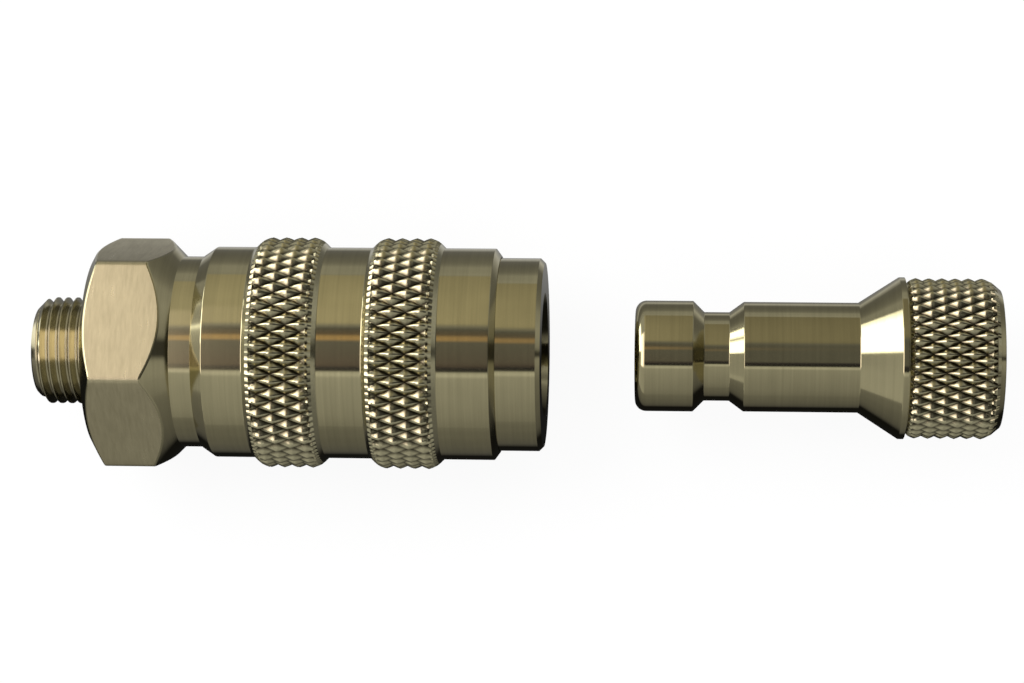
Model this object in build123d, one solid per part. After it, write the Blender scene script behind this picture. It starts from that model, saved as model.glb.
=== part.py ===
"""Quick coupling for fluid lines: a ball-locked socket with a shut-off valve, and its plug.

The coupling lies along X. The origin is the centre of the hexagon's seating face,
+X points from the socket to the plug, and +Z is up. The release sleeve is drawn
back and the plug stands clear of the socket's mouth, ready to go in.
All sizes are in millimetres.
"""
from build123d import *
from math import acos, cos, degrees, pi, sin, tan, radians
import os

# Hexagon and inlet thread of the adapter
hex_across_flats = 19.0
hex_length = 7.9
hex_front_chamfer_angle = 45.0
hex_rear_face_radius = 8.9
hex_rear_chamfer_angle = 30.0
thread_radius = 4.864
thread_ridge = 0.581
thread_length = 5.55
thread_chamfer = 0.9
flow_radius = 2.75
edge_break = 0.3

# Collar of the adapter, and the bore that the socket body screws into
collar_length = 6.9
collar_shoulder = 0.25
tube_clearance = 0.02
gasket_thickness = 0.6
gasket_lip = 0.3
gasket_wall_gap = 0.1
guide_disc_thickness = 1.6
counterbore_depth_in_hex = 1.5
funnel_length = 2.0
funnel_radius = 4.9

# Socket body
socket_bore_radius = 5.05
lead_in = 0.6
nose_length = 7.85
nose_shoulder = 0.65
nose_edge_chamfer = 0.4
chamber_wall = 1.05
seat_wall = 1.74
wall_behind_balls = 2.01
seal_wire = 1.36
seal_groove_side_gap = 0.25
backup_ring_thickness = 0.7
backup_ring_gap = 0.05

# Release sleeve, measured from its rear edge
sleeve_gap_to_hex = 1.95
sleeve_length = 27.0
sleeve_wall = 0.79
sleeve_rear_chamfer = 1.1
sleeve_front_chamfer = 0.5
sleeve_edge_land = 0.1
sleeve_slide_clearance = 0.06
sleeve_travel = 2.4
sleeve_stop_gap = 0.05
nose_proud = 3.95
rib_length = 7.2
rib_clearance = 0.2
spring_room = 1.4

# Knurled bands of the sleeve, where one column is a ring of diamonds
band_count = 2
band_offset = 4.7
band_spacing = 10.6
band_width = 6.6
band_bevel = 0.9
band_height = 0.9
band_column_pitch = 1.3
band_diamond_count = 50
band_knurl_depth = 0.38

# Locking balls, and the holes that keep them in the socket body
ball_count = 8
ball_radius = 1.5
ball_depth_from_mouth = 12.0
ball_reach = 0.95
ball_hole_clearance = 0.04
ball_lip_undercut = 0.06
ball_lip_depth = 0.08
ball_lip_cone = 0.32
ball_lock_play = 0.15
ball_recess_play = 0.05
ball_land_lead = 0.02

# Valve poppet, its seal, its spring and the guide disc
pusher_clearance = 0.45
pusher_wall = 1.7
pusher_past_seat = 3.56
port_radius = 1.2
port_count = 4
port_gap_to_head = 0.7
poppet_head_clearance = 0.25
poppet_head_thickness = 1.8
stem_radius = 1.5
stem_past_hub = 2.4
valve_seal_thickness = 0.48
valve_seal_inner_gap = 0.1
valve_seal_rim = 0.05
seal_face_gap = 0.02
guide_edge_gap = 0.07
guide_hub_radius = 2.5
guide_hub_length = 2.0
guide_bore_clearance = 0.06
guide_hole_radius = 0.7
guide_hole_circle = 4.5
guide_hole_count = 8
valve_spring_wire = 0.8
valve_spring_radius = 3.3
valve_spring_turns = 5.5

# Spring behind the sleeve's rib
sleeve_spring_wire = 1.0
sleeve_spring_turns = 5.5
spring_seat_gap = 0.02

# Plug, measured from its tip
plug_gap_at_mouth = 8.22
plug_length = 32.6
plug_tip_rounding = 1.0
plug_fit_clearance = 0.05
plug_groove_front = 5.2
plug_groove_bevel_front = 1.0
plug_groove_floor = 2.25
plug_groove_bevel_rear = 1.3
plug_groove_play = 0.1
plug_shank_relief = 0.05
plug_shank_end = 20.0
plug_cone_length = 3.6
plug_head_land = 0.5
plug_head_rim = 0.06
plug_knurl_runout = 0.15
plug_knurl_radius = 7.22
plug_knurl_depth = 0.36
plug_knurl_bevel = 0.4
plug_column_pitch = 1.17
plug_diamond_count = 38
plug_end_chamfer = 1.2
plug_end_drop = 1.02
plug_thread_depth = 8.5
plug_thread_chamfer = 0.7

# The buried part of a knurled ring, and how far its foot stands proud of the turned surface
knurl_root_depth = 0.4
knurl_foot_proud = 0.03
knurl_core_sides = 24

# Stations along X worked out from the sizes above
counterbore_floor_x = hex_length - counterbore_depth_in_hex
guide_rear_x = counterbore_floor_x + gasket_thickness
body_rear_x = guide_rear_x + guide_disc_thickness
collar_front_x = hex_length + collar_length
sleeve_rear_x = hex_length + sleeve_gap_to_hex
sleeve_front_x = sleeve_rear_x + sleeve_length
mouth_x = sleeve_front_x + nose_proud
nose_rear_x = mouth_x - nose_length
ball_x = mouth_x - ball_depth_from_mouth
ball_hole_radius = ball_radius + ball_hole_clearance
groove_front_x = ball_x - ball_hole_radius - wall_behind_balls
backup_ring_x = groove_front_x - backup_ring_gap
seal_x = backup_ring_x - backup_ring_thickness - seal_groove_side_gap - seal_wire / 2
groove_rear_x = seal_x - seal_wire / 2 - seal_groove_side_gap
seat_x = groove_rear_x - seat_wall
plug_tip_x = mouth_x + plug_gap_at_mouth
plug_rear_x = plug_tip_x + plug_length

# Radii of the ball lock, from the plug's bore outwards
ball_out_radius = socket_bore_radius + ball_radius
ball_in_radius = ball_out_radius - ball_reach
ball_land_radius = ball_in_radius + ball_radius + ball_lock_play
ball_recess_radius = ball_out_radius + ball_radius + ball_recess_play
plug_land_radius = socket_bore_radius - plug_fit_clearance
plug_shank_radius = plug_land_radius - plug_shank_relief
plug_groove_radius = ball_in_radius - ball_radius - plug_groove_play

# Radii of the socket body and what it holds
body_tube_radius = ball_land_radius - rib_clearance
valve_chamber_radius = body_tube_radius - chamber_wall
counterbore_radius = body_tube_radius + tube_clearance
guide_radius = counterbore_radius - guide_edge_gap
pusher_radius = socket_bore_radius - pusher_clearance
pusher_cup_radius = pusher_radius - pusher_wall
poppet_head_radius = valve_chamber_radius - poppet_head_clearance
valve_seal_radius = poppet_head_radius - valve_seal_rim

# Radii of the sleeve and of the two shoulders that it runs between
spring_chamber_radius = body_tube_radius + spring_room
sleeve_spring_radius = (body_tube_radius + spring_chamber_radius) / 2
collar_radius = spring_chamber_radius + collar_shoulder
nose_radius = ball_recess_radius + nose_shoulder
sleeve_rear_bore_radius = collar_radius + sleeve_slide_clearance
sleeve_front_bore_radius = nose_radius + sleeve_slide_clearance
sleeve_radius = sleeve_front_bore_radius + sleeve_wall
band_crest_radius = sleeve_radius + band_height

# Radii of the plug's head and of the threaded hole in it
tapping_radius = thread_radius - thread_ridge
plug_head_radius = plug_knurl_radius + plug_head_rim
plug_end_radius = plug_knurl_radius - plug_end_drop

# The coupling lies on its bands and has rolled until a corner of the hexagon touches down.
# A hexagon that is smaller than the bands can't touch, and then points a corner downwards.
hex_corner_radius = hex_across_flats / 2 / cos(pi / 6)
hex_turn = degrees(acos(min(1.0, band_crest_radius / hex_corner_radius)) - pi / 6)


def turned(points):
    """Solid of revolution about X from its outline, given as (x, radius) points."""
    return revolve(make_face(Polyline(*points, close=True)), Axis.X)


def rod(x_start, x_end, radius):
    """Round bar along X."""
    return turned([(x_start, 0), (x_start, radius), (x_end, radius), (x_end, 0)])


def flat_ring(x_start, x_end, inner_radius, outer_radius):
    """Flat washer about X."""
    outline = [(x_start, inner_radius), (x_start, outer_radius)]
    outline += [(x_end, outer_radius), (x_end, inner_radius)]
    return turned(outline)


def hex_bar(x_start, x_end):
    """Hexagonal bar about X, turned so that one corner lies on the table."""
    section = RegularPolygon(hex_across_flats / 2, 6, major_radius=False, rotation=hex_turn)
    return extrude(Plane.YZ.offset(x_start) * section, x_end - x_start)


def radial_pin(x, radius, angle, low, high):
    """Round bar that stands out from the axis at x, from radius low to radius high."""
    upright = Cylinder(radius, high - low, align=(Align.CENTER, Align.CENTER, Align.MIN))
    return Pos(x, 0, 0) * Rot(X=angle) * Pos(0, 0, low) * upright


def coil_spring(x_start, x_end, mean_radius, wire, turns):
    """Compression spring about X with plain ends, as long as its seats allow."""
    height = x_end - x_start - wire
    lead = Plane(origin=(x_start + wire / 2, 0, 0), x_dir=(0, 0, 1), z_dir=(1, 0, 0))
    path = lead * Helix(height / turns, height, mean_radius)
    section = Plane(path @ 0, z_dir=path % 0) * Circle(wire / 2)
    return sweep(section, path, is_frenet=True)


def ring_point(x, step, steps, radius):
    """Point on a ring about X, counted in equal angular steps from straight down."""
    angle = 2 * pi * step / steps
    return (x, radius * sin(angle), -radius * cos(angle))


def facet(*points):
    """Flat face through its corner points."""
    return Face(Wire.make_polygon(points))


def knurl_between(x_start, pitch, column, count, crest, depth):
    """Facets between two neighbouring columns of pointed diamonds."""
    steps = 2 * count
    faces = []
    for step in range(steps):
        near = [ring_point(x_start, k, steps, crest if (column + k) % 2 else crest - depth)
                for k in (step, step + 1)]
        far = [ring_point(x_start + pitch, k, steps, crest - depth if (column + k) % 2 else crest)
               for k in (step, step + 1)]
        if (column + step) % 2:
            faces += [facet(near[0], near[1], far[0]), facet(near[1], far[1], far[0])]
        else:
            faces += [facet(near[0], near[1], far[1]), facet(near[0], far[1], far[0])]
    return faces


def knurl_edge(x, x_edge, x_foot, pitch, column, count, crest, depth, foot_radius):
    """Facets from the last column out to the crest's edge and down the bevel to the foot."""
    steps = 2 * count
    share = abs(x_edge - x) / pitch
    root = crest - depth
    faces = []
    rim = []
    for step in range((column + 1) % 2, steps, 2):
        top = ring_point(x, step, steps, crest)
        low_left = ring_point(x, step - 1, steps, root)
        low_right = ring_point(x, step + 1, steps, root)
        top_cut = ring_point(x_edge, step, steps, crest - share * depth)
        cut_left = ring_point(x_edge, step - 1 + share, steps, root)
        cut_right = ring_point(x_edge, step + 1 - share, steps, root)
        next_left = ring_point(x_edge, step - 1, steps, root + share * depth)
        next_right = ring_point(x_edge, step + 1, steps, root + share * depth)
        faces += [facet(top, low_right, cut_right), facet(top, cut_right, top_cut)]
        faces += [facet(top, top_cut, cut_left), facet(top, cut_left, low_left)]
        faces += [facet(low_right, next_right, cut_right), facet(low_left, cut_left, next_left)]
        rim += [(cut_left, step - 1 + share), (top_cut, step)]
        rim += [(cut_right, step + 1 - share), (next_right, step + 1)]
    foot = [ring_point(x_foot, step, steps, foot_radius) for _, step in rim]
    for index, (corner, _) in enumerate(rim):
        after = (index + 1) % len(rim)
        faces += [facet(corner, rim[after][0], foot[after]), facet(corner, foot[after], foot[index])]
    return faces, foot


def knurled_ring(x_start, x_end, bevel, crest, depth, pitch, count, foot_radius):
    """Ring of pointed diamonds in whole columns, bevelled at both ends, with a core to bury."""
    crest_start = x_start + bevel
    crest_end = x_end - bevel
    columns = max(2, round((crest_end - crest_start) / pitch))
    first = (crest_start + crest_end - (columns - 1) * pitch) / 2
    last = first + (columns - 1) * pitch
    faces = []
    for column in range(columns - 1):
        x = first + column * pitch
        faces += knurl_between(x, pitch, column, count, crest, depth)
    left, left_foot = knurl_edge(
        first, crest_start, x_start, pitch, 0, count, crest, depth, foot_radius)
    right, right_foot = knurl_edge(
        last, crest_end, x_end, pitch, columns - 1, count, crest, depth, foot_radius)
    core_radius = foot_radius - knurl_root_depth
    cores = [[ring_point(x, side, knurl_core_sides, core_radius) for side in range(knurl_core_sides)]
             for x in (x_start, x_end)]
    ends = [Face(Wire.make_polygon(outer), [Wire.make_polygon(inner)])
            for outer, inner in zip((left_foot, right_foot), cores)]
    for side in range(knurl_core_sides):
        after = (side + 1) % knurl_core_sides
        faces += [facet(cores[0][side], cores[0][after], cores[1][after], cores[1][side])]
    return Solid(Shell(faces + left + right + ends))


def make_adapter():
    """Hexagon with the threaded stub behind it and the collar in front of it."""
    front_run = (hex_corner_radius - collar_radius) / tan(radians(hex_front_chamfer_angle))
    rear_run = (hex_corner_radius - hex_rear_face_radius) * tan(radians(hex_rear_chamfer_angle))
    cones = turned([
        (0, 0),
        (0, hex_rear_face_radius),
        (rear_run, hex_corner_radius),
        (hex_length - front_run, hex_corner_radius),
        (hex_length, collar_radius),
        (hex_length, 0),
    ])
    shank = turned([
        (-thread_length, 0),
        (-thread_length, thread_radius - thread_chamfer),
        (thread_chamfer - thread_length, thread_radius),
        (hex_length / 2, thread_radius),
        (hex_length / 2, collar_radius),
        (collar_front_x - edge_break, collar_radius),
        (collar_front_x, collar_radius - edge_break),
        (collar_front_x, 0),
    ])
    bore = turned([
        (-thread_length, 0),
        (-thread_length, flow_radius + edge_break),
        (edge_break - thread_length, flow_radius),
        (counterbore_floor_x - funnel_length, flow_radius),
        (counterbore_floor_x, funnel_radius),
        (counterbore_floor_x, counterbore_radius),
        (collar_front_x, counterbore_radius),
        (collar_front_x, 0),
    ])
    return (hex_bar(0, hex_length) & cones) + shank - bore


def make_socket_body():
    """Tube with the nose, the stepped bore, the seal groove and the ball holes."""
    groove_radius = socket_bore_radius + seal_wire
    body = turned([
        (body_rear_x, valve_chamber_radius),
        (body_rear_x, body_tube_radius),
        (nose_rear_x, body_tube_radius),
        (nose_rear_x, nose_radius),
        (mouth_x - nose_edge_chamfer, nose_radius),
        (mouth_x, nose_radius - nose_edge_chamfer),
        (mouth_x, socket_bore_radius + lead_in),
        (mouth_x - lead_in, socket_bore_radius),
        (groove_front_x, socket_bore_radius),
        (groove_front_x, groove_radius),
        (groove_rear_x, groove_radius),
        (groove_rear_x, socket_bore_radius),
        (seat_x, socket_bore_radius),
        (seat_x, valve_chamber_radius),
    ])
    for index in range(ball_count):
        body -= ball_hole(360 * index / ball_count)
    return body


def ball_hole(angle):
    """Radial hole with a narrower lip at the bore, so that a ball can't fall in."""
    lip_radius = ball_radius - ball_lip_undercut
    lip_top = socket_bore_radius + ball_lip_depth
    section = make_face(Polyline(
        (0, 0),
        (lip_radius, 0),
        (lip_radius, lip_top),
        (ball_hole_radius, lip_top + ball_lip_cone),
        (ball_hole_radius, nose_radius),
        (0, nose_radius),
        close=True,
    ))
    hole = Rot(X=90) * revolve(section, Axis.Y)
    return Pos(ball_x, 0, 0) * Rot(X=angle) * hole


def make_ball(index):
    """Locking ball in its hole, pushed outward until the bore is clear."""
    angle = 360 * index / ball_count
    return Pos(ball_x, 0, 0) * Rot(X=angle) * Pos(0, 0, ball_out_radius) * Sphere(ball_radius)


def make_release_sleeve():
    """Sleeve with the inner rib that holds the balls, and two knurled grip bands."""
    rib_front_x = nose_rear_x - sleeve_travel - sleeve_stop_gap
    land_front_x = ball_x - sleeve_travel + ball_land_lead
    ramp_run = (ball_recess_radius - ball_land_radius) * sleeve_travel / ball_reach
    shoulder_x = collar_front_x + sleeve_stop_gap
    sleeve = turned([
        (sleeve_rear_x, sleeve_rear_bore_radius),
        (sleeve_rear_x, sleeve_rear_bore_radius + sleeve_edge_land),
        (sleeve_rear_x + sleeve_rear_chamfer, sleeve_radius),
        (sleeve_front_x - sleeve_front_chamfer, sleeve_radius),
        (sleeve_front_x, sleeve_front_bore_radius + sleeve_edge_land),
        (sleeve_front_x, sleeve_front_bore_radius),
        (rib_front_x, sleeve_front_bore_radius),
        (rib_front_x, ball_recess_radius),
        (land_front_x + ramp_run, ball_recess_radius),
        (land_front_x, ball_land_radius),
        (rib_front_x - rib_length, ball_land_radius),
        (rib_front_x - rib_length, spring_chamber_radius),
        (shoulder_x, spring_chamber_radius),
        (shoulder_x, sleeve_rear_bore_radius),
    ])
    for band in range(band_count):
        start = sleeve_rear_x + band_offset + band * band_spacing
        sleeve += knurled_ring(
            start, start + band_width, band_bevel, band_crest_radius, band_knurl_depth,
            band_column_pitch, band_diamond_count, sleeve_radius + knurl_foot_proud)
    return sleeve


def make_sleeve_spring():
    """Spring between the adapter's collar and the sleeve's rib."""
    rib_rear_x = nose_rear_x - sleeve_travel - sleeve_stop_gap - rib_length
    return coil_spring(collar_front_x + spring_seat_gap, rib_rear_x - spring_seat_gap,
                       sleeve_spring_radius, sleeve_spring_wire, sleeve_spring_turns)


def make_valve_poppet():
    """Cup that the plug pushes, with side ports, the valve head and the guide stem."""
    head_front_x = seat_x - valve_seal_thickness - seal_face_gap
    head_rear_x = head_front_x - poppet_head_thickness
    stem_end_x = body_rear_x + guide_hub_length - stem_past_hub
    front_x = seat_x + pusher_past_seat
    poppet = turned([
        (stem_end_x, 0),
        (stem_end_x, stem_radius - edge_break),
        (stem_end_x + edge_break, stem_radius),
        (head_rear_x, stem_radius),
        (head_rear_x, poppet_head_radius),
        (head_front_x, poppet_head_radius),
        (head_front_x, pusher_radius),
        (front_x - edge_break, pusher_radius),
        (front_x, pusher_radius - edge_break),
        (front_x, pusher_cup_radius),
        (head_front_x, pusher_cup_radius),
        (head_front_x, 0),
    ])
    port_x = head_front_x + port_gap_to_head + port_radius
    for index in range(port_count):
        angle = 360 * index / port_count
        poppet -= radial_pin(port_x, port_radius, angle, 0, pusher_radius + port_radius)
    return poppet


def make_valve_seal():
    """Flat ring on the valve head, just off its seat in the body."""
    inner_radius = pusher_radius + valve_seal_inner_gap
    rear_x = seat_x - valve_seal_thickness - seal_face_gap
    return flat_ring(rear_x, rear_x + valve_seal_thickness, inner_radius, valve_seal_radius)


def make_valve_spring():
    """Spring between the guide disc and the valve head."""
    head_rear_x = seat_x - valve_seal_thickness - seal_face_gap - poppet_head_thickness
    return coil_spring(body_rear_x + spring_seat_gap, head_rear_x - spring_seat_gap,
                       valve_spring_radius, valve_spring_wire, valve_spring_turns)


def make_valve_guide():
    """Disc clamped behind the body, with a hub for the stem and a ring of flow holes."""
    hub_bore = stem_radius + guide_bore_clearance
    guide = turned([
        (guide_rear_x, hub_bore),
        (guide_rear_x, guide_radius),
        (body_rear_x, guide_radius),
        (body_rear_x, guide_hub_radius),
        (body_rear_x + guide_hub_length, guide_hub_radius),
        (body_rear_x + guide_hub_length, hub_bore),
    ])
    for index in range(guide_hole_count):
        angle = 360 * index / guide_hole_count
        hole = rod(guide_rear_x, body_rear_x, guide_hole_radius)
        guide -= Rot(X=angle) * Pos(0, 0, guide_hole_circle) * hole
    return guide


def make_body_gasket():
    """Flat gasket between the adapter and the guide disc."""
    inner_radius = funnel_radius + gasket_lip
    outer_radius = counterbore_radius - gasket_wall_gap
    return flat_ring(counterbore_floor_x, guide_rear_x, inner_radius, outer_radius)


def make_plug_seal():
    """Round seal in the body's groove, which closes on the plug's land."""
    mean_radius = socket_bore_radius + seal_wire / 2
    return Pos(seal_x, 0, 0) * Rot(Y=90) * Torus(mean_radius, seal_wire / 2)


def make_seal_backup_ring():
    """Hard ring that keeps the seal from being pushed out of its groove."""
    outer_radius = socket_bore_radius + seal_wire - backup_ring_gap
    return flat_ring(backup_ring_x - backup_ring_thickness, backup_ring_x,
                     socket_bore_radius, outer_radius)


def make_plug_body():
    """Plug with its locking groove, plain shank, cone, knurled head and inlet thread hole."""
    tip = plug_tip_x
    groove_floor_front = tip + plug_groove_front + plug_groove_bevel_front
    groove_floor_rear = groove_floor_front + plug_groove_floor
    cone_end = tip + plug_shank_end + plug_cone_length
    knurl_start = cone_end + plug_head_land + plug_knurl_runout
    knurl_end = plug_rear_x - plug_end_chamfer + plug_knurl_bevel
    core_radius = plug_knurl_radius - plug_knurl_depth - knurl_foot_proud
    end_slope = (plug_knurl_radius - plug_end_radius) / plug_end_chamfer
    core_end = plug_rear_x - (core_radius - plug_end_radius) / end_slope
    hole_floor = plug_rear_x - plug_thread_depth
    rounding = RadiusArc(
        (tip, plug_land_radius - plug_tip_rounding),
        (tip + plug_tip_rounding, plug_land_radius),
        plug_tip_rounding)
    outside = Polyline(
        (tip + plug_tip_rounding, plug_land_radius),
        (tip + plug_groove_front, plug_land_radius),
        (groove_floor_front, plug_groove_radius),
        (groove_floor_rear, plug_groove_radius),
        (groove_floor_rear + plug_groove_bevel_rear, plug_shank_radius),
        (tip + plug_shank_end, plug_shank_radius),
        (cone_end, plug_head_radius),
        (cone_end + plug_head_land, plug_head_radius),
        (cone_end + plug_head_land, core_radius),
        (core_end, core_radius),
        (plug_rear_x, plug_end_radius),
        (plug_rear_x, tapping_radius + plug_thread_chamfer),
        (plug_rear_x - plug_thread_chamfer, tapping_radius),
        (hole_floor, tapping_radius),
        (hole_floor, flow_radius),
        (tip, flow_radius),
        (tip, plug_land_radius - plug_tip_rounding))
    plug = revolve(make_face(rounding + outside), Axis.X)
    plug += knurled_ring(
        knurl_start, knurl_end, plug_knurl_bevel, plug_knurl_radius, plug_knurl_depth,
        plug_column_pitch, plug_diamond_count, core_radius + knurl_foot_proud)
    return plug


pieces = {
    "adapter": make_adapter(),
    "socket_body": make_socket_body(),
    "release_sleeve": make_release_sleeve(),
    "sleeve_spring": make_sleeve_spring(),
    "valve_poppet": make_valve_poppet(),
    "valve_seal": make_valve_seal(),
    "valve_spring": make_valve_spring(),
    "valve_guide": make_valve_guide(),
    "body_gasket": make_body_gasket(),
    "plug_seal": make_plug_seal(),
    "seal_backup_ring": make_seal_backup_ring(),
    "plug_body": make_plug_body(),
}
for number in range(ball_count):
    pieces[f"locking_ball_{number + 1}"] = make_ball(number)

os.makedirs("parts", exist_ok=True)
for node, shape in pieces.items():
    export_step(shape, f"parts/{node}.step")
    print(f"{node}: {shape.volume:.1f} mm3")
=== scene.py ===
"""Quick coupling in two halves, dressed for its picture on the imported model's frame.

The socket half has a hexagon, a male pipe thread and a release sleeve with two knurled
bands. The plug half has a locking groove and a knurled head. Both are turned from brass
and nickel plated. All lengths in the script are millimetres until MM turns them to metres.
"""
from __future__ import annotations

import logging
import math
from collections.abc import Callable
from dataclasses import dataclass
from enum import Enum

import bmesh
import bpy
from mathutils import Matrix, Vector

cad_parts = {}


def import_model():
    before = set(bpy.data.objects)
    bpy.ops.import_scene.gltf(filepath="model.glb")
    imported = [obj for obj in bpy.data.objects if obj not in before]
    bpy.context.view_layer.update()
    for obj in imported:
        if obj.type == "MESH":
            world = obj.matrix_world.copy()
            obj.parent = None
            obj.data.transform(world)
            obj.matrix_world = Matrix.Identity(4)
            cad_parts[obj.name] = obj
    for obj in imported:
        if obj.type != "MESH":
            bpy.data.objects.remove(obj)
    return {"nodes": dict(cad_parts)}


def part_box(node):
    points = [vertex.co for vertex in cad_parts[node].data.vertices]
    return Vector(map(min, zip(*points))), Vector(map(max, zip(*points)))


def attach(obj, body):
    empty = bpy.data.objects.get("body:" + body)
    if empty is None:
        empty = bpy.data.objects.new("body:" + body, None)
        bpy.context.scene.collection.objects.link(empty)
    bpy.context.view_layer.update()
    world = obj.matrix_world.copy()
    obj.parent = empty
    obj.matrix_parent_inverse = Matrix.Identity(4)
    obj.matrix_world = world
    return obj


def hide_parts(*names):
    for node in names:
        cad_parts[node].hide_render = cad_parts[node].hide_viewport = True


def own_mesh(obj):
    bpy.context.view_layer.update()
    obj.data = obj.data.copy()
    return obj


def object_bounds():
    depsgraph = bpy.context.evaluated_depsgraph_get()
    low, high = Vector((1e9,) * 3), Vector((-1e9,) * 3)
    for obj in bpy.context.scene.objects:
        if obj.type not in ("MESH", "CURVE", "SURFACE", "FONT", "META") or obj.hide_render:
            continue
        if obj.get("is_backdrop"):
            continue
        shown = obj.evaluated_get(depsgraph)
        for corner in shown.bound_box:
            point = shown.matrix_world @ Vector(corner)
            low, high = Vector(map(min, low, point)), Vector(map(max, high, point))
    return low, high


MM = 0.001
FULL_TURN = 2 * math.pi
SIXTH_TURN = math.radians(60)
ALONG = (1.0, 0.0, 0.0)
CENTRE = (0.0, 0.0, 0.0)
# In millimetres: points closer than WELD are one point, cuts are exact to
# CUT_TOLERANCE, and places less than HAIR apart count as the same place.
WELD = 1e-4
CUT_TOLERANCE = 1e-5
HAIR = 0.01

RingShape = Callable[[float], tuple[float, float]]

log = logging.getLogger("coupling")


def linear_colour(code: str) -> tuple[float, float, float, float]:
    """Turns an sRGB hex value into a linear colour.

    Args:
        code: the colour as six hex digits.

    Returns:
        Red, green, blue and an alpha of one.
    """
    channels = [int(code[place:place + 2], 16) / 255 for place in (0, 2, 4)]
    linear = [c / 12.92 if c <= 0.04045 else ((c + 0.055) / 1.055) ** 2.4 for c in channels]
    return (*linear, 1.0)


def add_node(tree: bpy.types.NodeTree, kind: str, settings: dict | None = None,
             values: dict | None = None, links: dict | None = None) -> bpy.types.Node:
    """Adds one shader node with its settings, its input values and its links.

    Args:
        tree: the node tree that gets the node.
        kind: the node's type name.
        settings: attributes of the node itself.
        values: input socket to fixed value.
        links: input socket to the output socket that feeds it.

    Returns:
        The new node.
    """
    node = tree.nodes.new(kind)
    for name, value in (settings or {}).items():
        setattr(node, name, value)
    for name, value in (values or {}).items():
        node.inputs[name].default_value = value
    for name, source in (links or {}).items():
        tree.links.new(source, node.inputs[name])
    return node


class Making(Enum):
    """How a surface was made, which sets the marks that it carries."""

    TURNED = "turned"
    KNURLED = "knurled"
    MILLED = "milled"
    DRAWN = "drawn"
    MOULDED = "moulded"
    POLISHED = "polished"


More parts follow.
